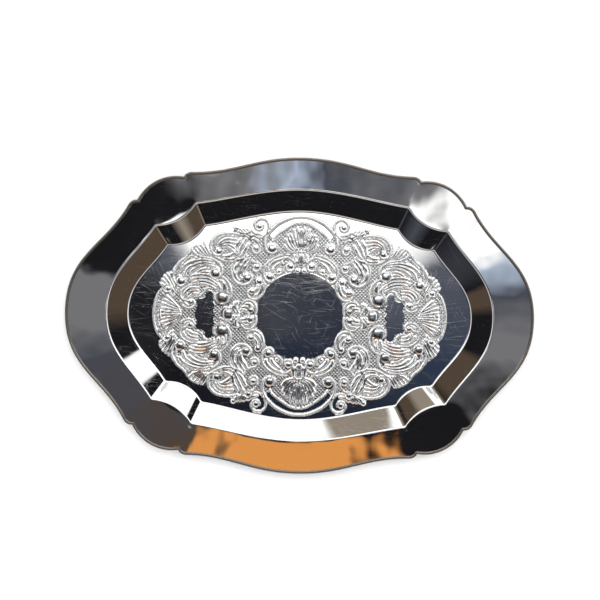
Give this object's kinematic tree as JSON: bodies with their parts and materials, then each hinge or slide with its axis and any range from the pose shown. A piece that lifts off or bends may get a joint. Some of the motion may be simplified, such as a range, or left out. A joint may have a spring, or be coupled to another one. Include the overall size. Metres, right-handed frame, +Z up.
{
  "type": "serving tray",
  "caption": "Long oval silver-plated serving tray with a wavy flange, a sunk well with a chased scroll floor, and a wire border round the edge.",
  "frame": {"origin": "centre of the flat underside of the well, the face that the tray stands on", "axes": "+Z up out of the well, +X along the long side, +Y along the short side, away from the near edge"},
  "size_m": [0.35, 0.236, 0.0145],
  "materials": {
    "pressed_silver_plate": "mirror-polished silver plate with fine wear scratches",
    "border_wire_plate": "polished silver plate, a little worn on the crown of the wire"
  },
  "bodies": {
    "root": {"tray_body": "pressed_silver_plate", "border_wire_back": "border_wire_plate", "border_wire_back_right": "border_wire_plate", "border_wire_right": "border_wire_plate", "border_wire_front_right": "border_wire_plate", "border_wire_front": "border_wire_plate", "border_wire_front_left": "border_wire_plate", "border_wire_left": "border_wire_plate", "border_wire_back_left": "border_wire_plate"}
  },
  "joints": []
}
